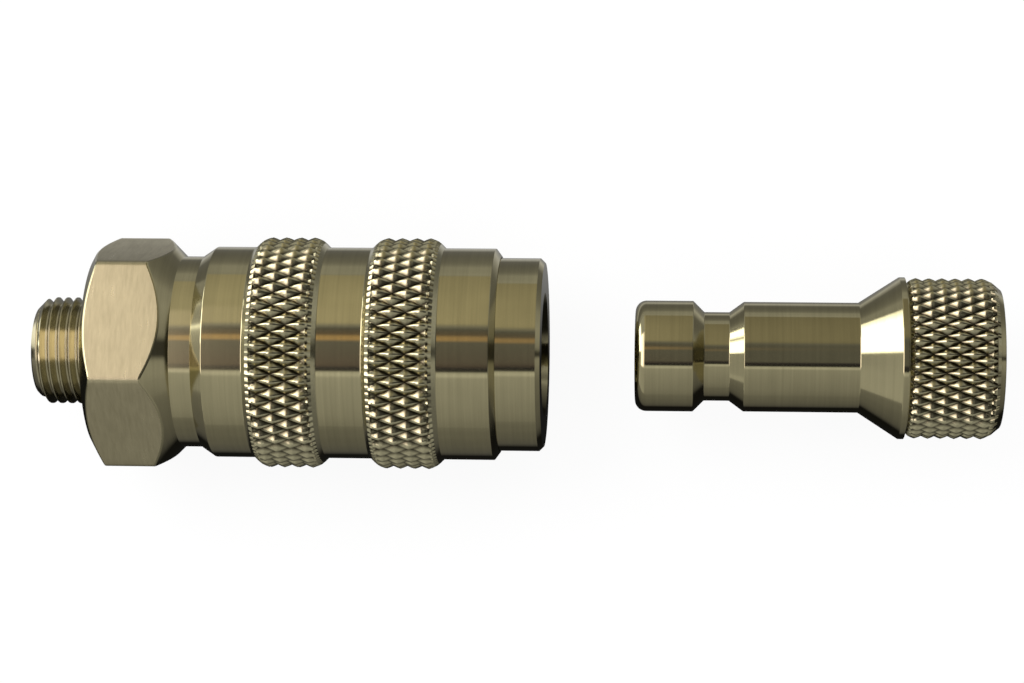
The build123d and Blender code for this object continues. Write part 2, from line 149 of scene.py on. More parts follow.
@dataclass(frozen=True)
class Finish:
    """One finish: what it is made of and how its surface was made.

    Attributes:
        name: the material's name.
        making: how the surface was made.
        colour: sRGB hex value of the clean surface.
        shade: sRGB hex value of the dull places, and on knurling of the painted shade in the
            grooves.
        metallic: 1 for a metal.
        roughness: roughness of the clean surface.
        mark_spacing: distance between tool marks, or grain size, in millimetres.
        mark_depth: depth of the marks in millimetres.
        mark_share: how strongly the marks change the colour and the gloss.
        anisotropy: how much the marks stretch a highlight across themselves.
    """

    name: str
    making: Making
    colour: str
    shade: str
    metallic: float = 1.0
    roughness: float = 0.2
    mark_spacing: float = 0.25
    mark_depth: float = 0.002
    mark_share: float = 0.3
    anisotropy: float = 0.0

    def material(self) -> bpy.types.Material:
        """Builds the finish's material from procedural nodes.

        Returns:
            The material, ready for a piece's slot.
        """
        made = bpy.data.materials.new(self.name)
        made.use_nodes = True
        tree = made.node_tree
        tree.nodes.clear()
        place = add_node(tree, "ShaderNodeTexCoord").outputs["Object"]
        marks = self._marks(tree, place)
        wear = add_node(tree, "ShaderNodeMath", {"operation": "MULTIPLY"},
                        {1: self.mark_share}, {0: marks})
        patch = add_node(tree, "ShaderNodeMath", {"operation": "MULTIPLY_ADD"},
                         {1: 0.5 * self.mark_share},
                         {0: self._mottle(tree, place), 2: wear.outputs[0]})
        dullness = patch.outputs[0]
        # Knurled pieces also get painted shade in their grooves: darker and rougher towards
        # the bottom.
        if self.making is Making.KNURLED:
            dullness = self._painted_groove_shade(tree, dullness)
        colour = add_node(tree, "ShaderNodeMix", {"data_type": "RGBA", "clamp_factor": True},
                          {"A": linear_colour(self.colour), "B": linear_colour(self.shade)},
                          {"Factor": dullness})
        rough = add_node(tree, "ShaderNodeMapRange", values={
            "To Min": 0.8 * self.roughness, "To Max": 1.6 * self.roughness},
            links={"Value": dullness})
        bump = add_node(tree, "ShaderNodeBump", values={
            "Strength": 1.0, "Distance": self.mark_depth * MM}, links={"Height": marks})
        surface = add_node(tree, "ShaderNodeBsdfPrincipled", values={
            "Metallic": self.metallic, "Anisotropic": self.anisotropy,
            "Anisotropic Rotation": 0.25}, links={
            "Base Color": colour.outputs["Result"], "Roughness": rough.outputs["Result"],
            "Normal": bump.outputs["Normal"]})
        if self.anisotropy:
            around = add_node(tree, "ShaderNodeTangent",
                              {"direction_type": "RADIAL", "axis": "X"})
            tree.links.new(around.outputs["Tangent"], surface.inputs["Tangent"])
        add_node(tree, "ShaderNodeOutputMaterial", links={"Surface": surface.outputs["BSDF"]})
        return made

    def _marks(self, tree: bpy.types.NodeTree,
               place: bpy.types.NodeSocket) -> bpy.types.NodeSocket:
        """Marks that the tool left: rings when turned, lines when drawn, else grain.

        Args:
            tree: the material's node tree.
            place: the socket that tells where on the piece a point is.

        Returns:
            The socket with the marks' height.
        """
        fine = 1 / (self.mark_spacing * MM)
        # A milled mark is 6 times as long as it is wide, a turned or drawn one 60 times.
        short, long = fine / 6, fine / 60
        scales = {
            Making.TURNED: (fine, long, long),
            Making.MILLED: (fine, short, short),
            Making.DRAWN: (long, fine, fine),
        }
        scaled = add_node(tree, "ShaderNodeMapping",
                          values={"Scale": scales.get(self.making, (fine, fine, fine))},
                          links={"Vector": place})
        noise = add_node(tree, "ShaderNodeTexNoise",
                         values={"Scale": 1.0, "Detail": 3.0, "Roughness": 0.6},
                         links={"Vector": scaled.outputs["Vector"]})
        return noise.outputs["Fac"]

    def _mottle(self, tree: bpy.types.NodeTree,
                place: bpy.types.NodeSocket) -> bpy.types.NodeSocket:
        """Broad uneven patches in the plating, a few millimetres across.

        Args:
            tree: the material's node tree.
            place: the socket that tells where on the piece a point is.

        Returns:
            The socket with the patches' strength.
        """
        patch_size = 3.0
        scaled = add_node(tree, "ShaderNodeMapping",
                          values={"Scale": (1 / (patch_size * MM),) * 3},
                          links={"Vector": place})
        noise = add_node(tree, "ShaderNodeTexNoise", values={"Scale": 1.0, "Detail": 2.0},
                         links={"Vector": scaled.outputs["Vector"]})
        return noise.outputs["Fac"]

    def _painted_groove_shade(self, tree: bpy.types.NodeTree,
                     base: bpy.types.NodeSocket) -> bpy.types.NodeSocket:
        """Darkens the grooves between the diamonds with painted shade, and makes them rougher.

        Args:
            tree: the material's node tree.
            base: the socket with the dullness without the grooves.

        Returns:
            The socket with the dullness of both.
        """
        # Below this height of the pattern, a groove gets painted shade.
        unshaded_above = 0.55
        height = add_node(tree, "ShaderNodeAttribute", {"attribute_name": "knurl_height"})
        groove = add_node(tree, "ShaderNodeMapRange",
                          values={"From Min": 0.0, "From Max": unshaded_above,
                                  "To Min": 1.0, "To Max": 0.0},
                          links={"Value": height.outputs["Fac"]})
        both = add_node(tree, "ShaderNodeMath", {"operation": "MAXIMUM"},
                        links={0: base, 1: groove.outputs["Result"]})
        return both.outputs[0]


# Brass under bright nickel, turned: the rings of the lathe tool stretch each reflection
# along the axis and leave faint grey lines around the piece. Real rings, about 0.1 mm
# apart, are too fine to show, so they are drawn as coarse as they need to be.
TURNED_PLATE = Finish("turned nickel-plated brass", Making.TURNED, "CBC298", "8E8768",
                      roughness=0.085, mark_spacing=0.3,
                      mark_depth=0.0006, mark_share=0.5, anisotropy=0.6)
# The same plate over knurling: small bright faces, with painted shade that makes the grooves
# between them brown-grey, and a grain from the rolling that is drawn coarser than real so
# that it shows.
KNURLED_PLATE = Finish("knurled nickel-plated brass", Making.KNURLED, "D2CBA4", "332C1E",
                       roughness=0.15, mark_spacing=0.2,
                       mark_depth=0.0004, mark_share=0.25)
# Plate over a cut thread: rougher, because polish doesn't reach between the ridges, and darker
# as a whole, because its darker shade colour and stronger marks are painted shade.
# Its rings too are drawn as coarse as they need to be.
THREAD_PLATE = Finish("threaded nickel-plated brass", Making.TURNED, "C8C19E", "7A7258",
                      roughness=0.15, mark_spacing=0.2,
                      mark_depth=0.0008, mark_share=0.6)
# The hexagon's flats are milled, so they have a satin sheen with short marks across them,
# which are drawn two to three times as wide as real ones so that they show.
MILLED_PLATE = Finish("milled nickel-plated brass", Making.MILLED, "DBD1A8", "988F70",
                      roughness=0.26, mark_spacing=0.3,
                      mark_depth=0.003, mark_share=0.6)
# Drawn spring wire: grey steel with lines along the wire, drawn coarse enough to show.
SPRING_WIRE = Finish("drawn spring steel", Making.DRAWN, "B0B0AE", "6E6D6A",
                     roughness=0.3, mark_spacing=0.15,
                     mark_depth=0.001, mark_share=0.4)
# Hardened ball steel, lapped: close to a mirror, slightly blue. The lapping's grain is
# far too fine to show, so it is drawn as faint clouds.
LAPPED_STEEL = Finish("lapped ball steel", Making.POLISHED, "C9CACD", "9FA1A5",
                      roughness=0.07, mark_spacing=0.2,
                      mark_depth=0.0001, mark_share=0.15)
# Moulded nitrile rubber: black, with a soft broad sheen and the grain of the mould.
NITRILE = Finish("moulded nitrile rubber", Making.MOULDED, "1E1E1F", "2C2B2B",
                 metallic=0.0, roughness=0.5, mark_spacing=0.12,
                 mark_depth=0.002, mark_share=0.6)
# Turned fluoropolymer: waxy off-white with faint rings, drawn coarse enough to show.
FLUOROPOLYMER = Finish("turned fluoropolymer", Making.TURNED, "E4E2DA", "CFCCC2",
                       metallic=0.0, roughness=0.42, mark_spacing=0.2,
                       mark_depth=0.001, mark_share=0.4)


class Wardrobe:
    """Keeps one material for each finish, so that like pieces share it."""

    def __init__(self) -> None:
        """Starts with no material made."""
        self._made: dict[str, bpy.types.Material] = {}

    def material(self, finish: Finish) -> bpy.types.Material:
        """Makes the finish's material when it is first asked for.

        Args:
            finish: the finish.

        Returns:
            Its material.
        """
        if finish.name not in self._made:
            self._made[finish.name] = finish.material()
        return self._made[finish.name]

    def dress(self, piece: bpy.types.Object, *finishes: Finish) -> None:
        """Gives a piece its finishes, one material slot each.

        Args:
            piece: the object to dress.
            finishes: the finishes in slot order.
        """
        # Clearing would also set every face back to the first slot.
        if piece.data.materials:
            piece.data.materials.clear()
        for finish in finishes:
            piece.data.materials.append(self.material(finish))


class AdapterFace(Enum):
    """The adapter's kinds of face, in the order of its material slots."""

    MILLED = 0
    TURNED = 1
    THREAD = 2


@dataclass(frozen=True)
class Knurl:
    """A band of pointed diamonds rolled into a turned piece.

    Attributes:
        start: where the crest begins along the axis, in millimetres.
        end: where the crest ends.
        run_in: length of the bevel before the crest.
        run_out: length of the bevel after the crest.
        crest: radius at the points of the diamonds.
        depth: height of the diamonds.
        column_pitch: distance between neighbouring columns of diamonds.
        around: how many diamonds go round in one column.
        plain_end: how much of the last bevel keeps the turned finish.
        rounding: 0 for sharp pyramids, 1 for points that are fully polished round.
        wall: distance from the points down to a radius between bevels and bore.
    """

    start: float
    end: float
    run_in: float
    run_out: float
    crest: float
    depth: float
    column_pitch: float
    around: int
    plain_end: float = 0.0
    rounding: float = 0.35
    wall: float = 1.3

    @property
    def first_column(self) -> float:
        """Where the first column's points stand along the axis."""
        columns = max(2, round((self.end - self.start) / self.column_pitch))
        return (self.start + self.end - (columns - 1) * self.column_pitch) / 2

    def stations(self) -> list[float]:
        """Finds where the pattern's grid has a ring of points.

        Returns:
            The places along the axis.
        """
        step = self.column_pitch / 4
        low = math.ceil((self.start - self.run_in - self.first_column) / step)
        high = math.floor((self.end + self.run_out - self.first_column) / step)
        return [self.first_column + k * step for k in range(low, high + 1)]

    def spans(self, x: float) -> bool:
        """Whether a place along the axis is on the crest or on one of its bevels."""
        return self.start - self.run_in - WELD < x < self.end + self.run_out + WELD

    def is_dressed(self, x: float) -> bool:
        """Whether a place along the axis has the knurled finish."""
        return self.start - self.run_in < x < self.end + self.run_out - self.plain_end

    def is_outside(self, x: float, radius: float) -> bool:
        """Whether a point of the outline is on the band and not in the bore."""
        return self.spans(x) and radius > self.crest - self.wall

    def is_pressed(self, x: float, radius: float) -> bool:
        """Whether a point of the turned surface lies where the tool presses."""
        return self.spans(x) and self.crest - self.depth < radius < self.crest + HAIR

    def is_tooth(self, x: float, radius: float) -> bool:
        """Whether a point of the knurled surface lies between the bevels."""
        return self.start < x < self.end and radius > self.crest - self.depth - HAIR

    def height(self, x: float, angle: float) -> float:
        """Height of the pattern at a place, from 0 in the grooves to 1 at the points.

        Args:
            x: place along the axis in millimetres.
            angle: angle from straight down, in radians.

        Returns:
            The share of the full height.
        """
        u = (x - self.first_column) / self.column_pitch
        v = angle / (math.pi / self.around)
        rising, falling = (u + v) / 2, (u - v) / 2
        pyramid = 1 - 2 * max(abs(rising - round(rising)), abs(falling - round(falling)))
        pillow = abs(math.cos(math.pi * rising) * math.cos(math.pi * falling))
        return self.rounding * pillow + (1 - self.rounding) * pyramid


@dataclass
class TurnedPiece:
    """A piece made on the lathe: an outline spun about X, with knurled bands.

    Attributes:
        name: the piece's name.
        outline: closed outline as (x, radius) points in millimetres.
        knurls: the knurled bands on the outside.
        knurl_floor: radius that every knurled face lies outside of.
        segments: how many facets go round.
        edge_radius: size of the small round on every corner.
        smooth_angle: edges that bend more than this many degrees stay sharp.
        groove_height: a point of the pattern below this height is in a groove.
    """

    name: str
    outline: list[tuple[float, float]]
    knurls: tuple[Knurl, ...]
    knurl_floor: float
    segments: int
    edge_radius: float = 0.04
    smooth_angle: float = 5.0
    groove_height: float = 0.02

    def build(self, wardrobe: Wardrobe) -> bpy.types.Object:
        """Spins the outline, presses the knurls into it and dresses it.

        Args:
            wardrobe: where the materials come from.

        Returns:
            The finished object at the origin.
        """
        bm = bmesh.new()
        self._lay_outline(bm)
        for knurl in self.knurls:
            self._divide_for(bm, knurl)
        bmesh.ops.spin(bm, geom=bm.verts[:] + bm.edges[:], cent=CENTRE, axis=ALONG,
                       dvec=CENTRE, angle=FULL_TURN, steps=self.segments, use_merge=True)
        bmesh.ops.remove_doubles(bm, verts=bm.verts[:], dist=WELD)
        bmesh.ops.recalc_face_normals(bm, faces=bm.faces[:])
        self._press_knurls(bm)
        piece = finish_mesh(bm, self.name, self.smooth_angle)
        self._soften_points(piece.data)
        wardrobe.dress(piece, TURNED_PLATE, KNURLED_PLATE)
        self._dress_knurls(piece.data)
        return piece

    def _lay_outline(self, bm: bmesh.types.BMesh) -> None:
        """Draws the outline as one loop of edges and rounds its corners.

        Args:
            bm: the empty mesh.
        """
        corners = [bm.verts.new((x, 0.0, -radius)) for x, radius in self.outline]
        for here, after in zip(corners, corners[1:] + corners[:1]):
            bm.edges.new((here, after))
        bmesh.ops.bevel(bm, geom=corners, offset=self.edge_radius, offset_type="OFFSET",
                        affect="VERTICES", segments=2, profile=0.5, material=-1)

    def _divide_for(self, bm: bmesh.types.BMesh, knurl: Knurl) -> None:
        """Cuts the crest and its bevels where the diamonds' points and grooves will be.

        Args:
            bm: the outline.
            knurl: the band.
        """
        for x in knurl.stations():
            crest = [e for e in bm.edges
                     if all(knurl.is_outside(v.co.x, -v.co.z) for v in e.verts)]
            ends = list(dict.fromkeys(v for e in crest for v in e.verts))
            bmesh.ops.bisect_plane(bm, geom=crest + ends, plane_co=(x, 0, 0),
                                   plane_no=ALONG, dist=CUT_TOLERANCE)

    def _press_knurls(self, bm: bmesh.types.BMesh) -> None:
        """Moves the crest inwards between the diamonds, then creases each groove.

        Args:
            bm: the spun piece.
        """
        layer = bm.verts.layers.float.new("knurl_height")
        pressed = set()
        for vert in bm.verts:
            vert[layer] = 1.0
            radius = math.hypot(vert.co.y, vert.co.z)
            for knurl in (k for k in self.knurls if k.is_pressed(vert.co.x, radius)):
                height = knurl.height(vert.co.x, math.atan2(vert.co.y, -vert.co.z))
                lowered = min(radius, knurl.crest - knurl.depth * (1 - height))
                vert[layer] = height
                vert.co.y *= lowered / radius
                vert.co.z *= lowered / radius
                pressed.add(vert)
        for face in [f for f in bm.faces
                     if len(f.verts) == 4 and pressed.issuperset(f.verts)]:
            a, b, c, d = face.verts
            low_diagonal = (a, c) if a[layer] + c[layer] < b[layer] + d[layer] else (b, d)
            bmesh.utils.face_split(face, *low_diagonal)

    def _soften_points(self, mesh: bpy.types.Mesh) -> None:
        """Leaves only the grooves and borders of the knurled bands sharp.

        Args:
            mesh: the piece's mesh in metres.
        """
        heights = mesh.attributes["knurl_height"].data
        sharp = mesh.attributes["sharp_edge"].data
        for edge in mesh.edges:
            ends = [heights[v].value for v in edge.vertices]
            if min(ends) < 1.0 and max(ends) > self.groove_height and all(
                    self._is_tooth(mesh.vertices[v].co) for v in edge.vertices):
                sharp[edge.index].value = False

    def _is_tooth(self, place: Vector) -> bool:
        """Whether a place in metres is on one of the bands, between the bevels."""
        x, radius = place.x / MM, math.hypot(place.y, place.z) / MM
        return any(knurl.is_tooth(x, radius) for knurl in self.knurls)

    def _dress_knurls(self, mesh: bpy.types.Mesh) -> None:
        """Gives the knurled faces the second material slot.

        Args:
            mesh: the piece's mesh in metres.
        """
        for face in mesh.polygons:
            x, radius = face.center.x / MM, math.hypot(face.center.y, face.center.z) / MM
            knurled = radius > self.knurl_floor and any(k.is_dressed(x) for k in self.knurls)
            face.material_index = int(knurled)


@dataclass
class RingLoft:
    """A piece skinned over rings about X, where each ring's shape may follow a hexagon.

    Attributes:
        rings: for each ring, a function from the angle to (x, radius) in millimetres.
        angles: where each ring has its points, in radians from +Y towards +Z.
    """

    rings: list[RingShape]
    angles: list[float]

    def skin(self) -> bmesh.types.BMesh:
        """Extrudes the first ring through all others and back to itself.

        Returns:
            The closed mesh in millimetres.
        """
        bm = bmesh.new()
        angles = self.angles
        ring = bmesh.ops.create_circle(bm, segments=len(angles), radius=1.0)["verts"]
        self._place(ring, angles, self.rings[0])
        edges = bm.edges[:]
        for shape in self.rings[1:] + self.rings[:1]:
            known = dict(zip(ring, angles))
            grown = bmesh.ops.extrude_edge_only(bm, edges=edges)["geom"]
            edges = [g for g in grown if isinstance(g, bmesh.types.BMEdge) and g.is_boundary]
            ring = [g for g in grown if isinstance(g, bmesh.types.BMVert)]
            angles = [known[self._partner(vert, known)] for vert in ring]
            self._place(ring, angles, shape)
        bmesh.ops.remove_doubles(bm, verts=bm.verts[:], dist=WELD)
        bmesh.ops.recalc_face_normals(bm, faces=bm.faces[:])
        return bm

    @staticmethod
    def _partner(vert: bmesh.types.BMVert, known: dict) -> bmesh.types.BMVert:
        """The point of the last ring that a new point was extruded from."""
        return next(e.other_vert(vert) for e in vert.link_edges if e.other_vert(vert) in known)

    @staticmethod
    def _place(ring: list[bmesh.types.BMVert], angles: list[float],
               shape: RingShape) -> None:
        """Moves a ring's points to its shape.

        Args:
            ring: the points.
            angles: the angle of each point.
            shape: the ring's shape.
        """
        for vert, angle in zip(ring, angles):
            x, radius = shape(angle)
            vert.co = (x, radius * math.cos(angle), radius * math.sin(angle))


def round_ring(x: float, radius: float) -> RingShape:
    """The shape of a plain round ring for a RingLoft."""
    return lambda angle: (x, radius)


def finish_mesh(bm: bmesh.types.BMesh, name: str,
                smooth_angle: float = 32.0) -> bpy.types.Object:
    """Turns a bmesh in millimetres into an object in metres with soft and sharp edges.

    Args:
        bm: the mesh, which is freed.
        name: the object's name.
        smooth_angle: edges that bend more than this many degrees stay sharp.

    Returns:
        The new object, linked to the scene.
    """
    bmesh.ops.scale(bm, vec=(MM, MM, MM), verts=bm.verts[:])
    for face in bm.faces:
        face.smooth = True
    mesh = bpy.data.meshes.new(name)
    bm.to_mesh(mesh)
    bm.free()
    mesh.set_sharp_from_angle(angle=math.radians(smooth_angle))
    piece = bpy.data.objects.new(name, mesh)
    bpy.context.scene.collection.objects.link(piece)
    return piece


@dataclass
class Adapter:
    """The adapter: a hexagon with rounded corners, a collar and a threaded stub.

    Attributes:
        wardrobe: where the materials come from.
        hex_across_flats: distance between two opposite flats.
        hex_length: length of the hexagon with its chamfers.
        hex_turn: how far its first corner stands from +Y towards +Z, in degrees.
        hex_rear_face: radius of its round rear face.
        hex_rear_chamfer: angle of its rear chamfer in degrees.
        hex_front_chamfer: angle of its front chamfer in degrees.
        hex_edge_radius: round between its flats and its chamfers.
        hex_corner_radius: round on its six long corners.
        corner_steps: facets from the middle of a long corner to its flat.
        flat_steps: facets across a flat.
        least_bend: edges of the hexagon that bend less, in degrees, aren't rounded.
        collar_radius: radius of the collar in front of the hexagon.
        edge_break: small chamfer on the collar and at the bore's mouth.
        counterbore_radius: radius of the bore that the socket body screws into.
        counterbore_in_hex: how far that bore reaches into the hexagon.
        funnel_radius: wide end of the funnel behind it.
        funnel_length: length of the funnel.
        bore_radius: radius of the flow bore through the stub.
        stub_radius: major radius of the pipe thread.
        stub_chamfer: length of the chamfer on the stub's tip.
        stub_overlap: how far the stub runs into the hexagon.
        thread_pitch: distance from one ridge to the next.
        thread_depth: height of a ridge.
        thread_steps: facets in one turn of the thread.
        smooth_angle: edges that bend more than this many degrees stay sharp.
    """

    wardrobe: Wardrobe
    hex_across_flats: float = 19.0
    hex_length: float = 7.9
    hex_turn: float = -13.17
    hex_rear_face: float = 8.9
    hex_rear_chamfer: float = 30.0
    hex_front_chamfer: float = 45.0
    hex_edge_radius: float = 0.12
    hex_corner_radius: float = 0.7
    corner_steps: int = 4
    flat_steps: int = 20
    least_bend: float = 20.0
    collar_radius: float = 8.7
    edge_break: float = 0.3
    counterbore_radius: float = 7.07
    counterbore_in_hex: float = 1.5
    funnel_radius: float = 4.9
    funnel_length: float = 2.0
    bore_radius: float = 2.75
    stub_radius: float = 4.864
    stub_chamfer: float = 0.9
    stub_overlap: float = 0.05
    thread_pitch: float = 0.907
    thread_depth: float = 0.52
    thread_steps: int = 96
    smooth_angle: float = 8.0

    def build(self) -> None:
        """Skins the hexagon and the collar, adds the stub and dresses the piece."""
        bm = RingLoft(self._rings(), self._angles()).skin()
        self._round_edges(bm)
        self._mark_flats(bm)
        self._add_stub(bm)
        piece = finish_mesh(bm, "adapter_threaded", self.smooth_angle)
        self.wardrobe.dress(piece, MILLED_PLATE, TURNED_PLATE, THREAD_PLATE)
        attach(piece, "socket")
        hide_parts("adapter")
        log.info("made %s", piece.name)

    @property
    def corner(self) -> float:
        """Distance from the axis to a long corner before it is rounded."""
        return self.hex_across_flats / 2 / math.cos(math.pi / 6)

    @property
    def half_flat(self) -> float:
        """Works out how much of a turn a flat takes up between two rounded corners.

        Returns:
            Half the angle in radians.
        """
        tangent = self.hex_corner_radius * math.tan(SIXTH_TURN / 2)
        return math.atan((self.corner / 2 - tangent)
                         / (self.corner * math.cos(SIXTH_TURN / 2)))

    def _hex_radius(self, angle: float) -> float:
        """Radius of the hexagon's outline.

        Args:
            angle: angle from +Y towards +Z in radians.

        Returns:
            The radius at that angle.
        """
        off_flat = (angle - math.radians(self.hex_turn)) % SIXTH_TURN - SIXTH_TURN / 2
        if abs(off_flat) <= self.half_flat:
            return self.corner * math.cos(SIXTH_TURN / 2) / math.cos(off_flat)
        centre = self.corner - self.hex_corner_radius / math.cos(SIXTH_TURN / 2)
        off_corner = SIXTH_TURN / 2 - abs(off_flat)
        rise = centre * math.sin(off_corner)
        return (centre * math.cos(off_corner)
                + math.sqrt(self.hex_corner_radius ** 2 - rise ** 2))

    def _rings(self) -> list[RingShape]:
        """Lists the rings from the bore over the hexagon and back through the collar.

        Returns:
            The rings' shapes in order.
        """
        collar_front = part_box("adapter")[1].x / MM
        counterbore_floor = self.hex_length - self.counterbore_in_hex
        rear_slope = math.tan(math.radians(self.hex_rear_chamfer))
        front_slope = math.tan(math.radians(self.hex_front_chamfer))

        def rear_edge(angle: float) -> tuple[float, float]:
            """Where the rear chamfer meets the flats."""
            radius = self._hex_radius(angle)
            return (radius - self.hex_rear_face) * rear_slope, radius

        def front_edge(angle: float) -> tuple[float, float]:
            """Where the front chamfer meets the flats."""
            radius = self._hex_radius(angle)
            return self.hex_length - (radius - self.collar_radius) / front_slope, radius

        return [
            round_ring(0.0, self.bore_radius),
            round_ring(0.0, self.hex_rear_face),
            rear_edge,
            front_edge,
            round_ring(self.hex_length, self.collar_radius),
            round_ring(collar_front - self.edge_break, self.collar_radius),
            round_ring(collar_front, self.collar_radius - self.edge_break),
            round_ring(collar_front, self.counterbore_radius),
            round_ring(counterbore_floor, self.counterbore_radius),
            round_ring(counterbore_floor, self.funnel_radius),
            round_ring(counterbore_floor - self.funnel_length, self.bore_radius),
        ]

    def _angles(self) -> list[float]:
        """Spreads a ring's points closely round each corner and evenly over each flat.

        Returns:
            The angles in radians.
        """
        half_corner = SIXTH_TURN / 2 - self.half_flat
        parts = [half_corner * k / self.corner_steps
                 for k in range(-self.corner_steps, self.corner_steps)]
        parts += [half_corner + 2 * self.half_flat * k / self.flat_steps
                  for k in range(self.flat_steps)]
        turn = math.radians(self.hex_turn)
        return [turn + side * SIXTH_TURN + part for side in range(6) for part in parts]

    def _round_edges(self, bm: bmesh.types.BMesh) -> None:
        """Rounds the edges between the flats and the chamfers.

        Args:
            bm: the adapter's mesh.
        """
        on_hex = set()
        for face in bm.faces:
            centre = face.calc_center_median()
            if (HAIR < centre.x < self.hex_length - HAIR
                    and math.hypot(centre.y, centre.z) > self.collar_radius - HAIR):
                on_hex.add(face)
        edges = [e for e in bm.edges if on_hex.issuperset(e.link_faces)
                 and e.calc_face_angle(0) > math.radians(self.least_bend)]
        bmesh.ops.bevel(bm, geom=edges, offset=self.hex_edge_radius, offset_type="OFFSET",
                        affect="EDGES", segments=2, profile=0.5, material=-1)

    def _mark_flats(self, bm: bmesh.types.BMesh) -> None:
        """Tells the milled flats, which are level with the axis, from the turned faces.

        Args:
            bm: the adapter's mesh.
        """
        most_lean, past_collar = 0.1, 0.1
        bm.normal_update()
        for face in bm.faces:
            centre = face.calc_center_median()
            radius = math.hypot(centre.y, centre.z)
            flat = (abs(face.normal.x) < most_lean
                    and radius > self.collar_radius + past_collar)
            face.material_index = (AdapterFace.MILLED if flat else AdapterFace.TURNED).value

    def _add_stub(self, bm: bmesh.types.BMesh) -> None:
        """Adds the stub with its thread, trimmed at both ends and tapered at the tip.

        Args:
            bm: the adapter's mesh, which gains the stub.
        """
        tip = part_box("adapter")[0].x / MM
        stub = self._spin_thread(tip)
        for place, inner, outer in ((tip, True, False), (self.stub_overlap, False, True)):
            everything = stub.verts[:] + stub.edges[:] + stub.faces[:]
            bmesh.ops.bisect_plane(stub, geom=everything, plane_co=(place, 0, 0),
                                   plane_no=ALONG, clear_inner=inner, clear_outer=outer,
                                   dist=CUT_TOLERANCE)
        for vert in stub.verts:
            radius = math.hypot(vert.co.y, vert.co.z)
            limit = self.stub_radius - self.stub_chamfer + (vert.co.x - tip)
            if radius > limit:
                vert.co.y *= limit / radius
                vert.co.z *= limit / radius
        self._bore_stub(stub, tip)
        for face in stub.faces:
            face.material_index = AdapterFace.THREAD.value
        mesh = bpy.data.meshes.new("stub")
        stub.to_mesh(mesh)
        stub.free()
        bm.from_mesh(mesh)
        bpy.data.meshes.remove(mesh)

    def _spin_thread(self, tip: float) -> bmesh.types.BMesh:
        """Spins the outline of one ridge about the axis while it moves along.

        Args:
            tip: where the stub ends along the axis.

        Returns:
            The thread's skin, too long at both ends.
        """
        turns = math.ceil(-tip / self.thread_pitch) + 2
        root = self.stub_radius - self.thread_depth
        land = self.thread_pitch / 8
        middle = self.thread_pitch / 2
        ridge = [(0.0, root), (land, root), (middle - land / 2, self.stub_radius),
                 (middle + land / 2, self.stub_radius), (self.thread_pitch, root)]
        start = tip - self.thread_pitch
        stub = bmesh.new()
        corners = [stub.verts.new((start + x, 0.0, -radius)) for x, radius in ridge]
        edges = [stub.edges.new(pair) for pair in zip(corners, corners[1:])]
        advance = self.thread_pitch / self.thread_steps
        bmesh.ops.spin(stub, geom=corners + edges, cent=CENTRE, axis=ALONG,
                       dvec=(advance, 0, 0), angle=FULL_TURN * turns,
                       steps=self.thread_steps * turns)
        bmesh.ops.remove_doubles(stub, verts=stub.verts[:], dist=2 * WELD)
        return stub

    def _bore_stub(self, stub: bmesh.types.BMesh, tip: float) -> None:
        """Closes the stub's tip and runs its bore back into the hexagon.

        Args:
            stub: the threaded stub, open at both ends.
            tip: where the stub ends along the axis.
        """
        rim = [e for e in stub.edges
               if e.is_boundary and all(v.co.x < tip + HAIR for v in e.verts)]
        rings = ((tip, self.bore_radius + self.edge_break),
                 (tip + self.edge_break, self.bore_radius),
                 (self.stub_overlap, self.bore_radius))
        for x, radius in rings:
            grown = bmesh.ops.extrude_edge_only(stub, edges=rim)["geom"]
            for vert in (g for g in grown if isinstance(g, bmesh.types.BMVert)):
                share = radius / math.hypot(vert.co.y, vert.co.z)
                vert.co = (x, vert.co.y * share, vert.co.z * share)
            rim = [g for g in grown if isinstance(g, bmesh.types.BMEdge) and g.is_boundary]
        bmesh.ops.bridge_loops(stub, edges=[e for e in stub.edges if e.is_boundary])
        bmesh.ops.recalc_face_normals(stub, faces=stub.faces[:])


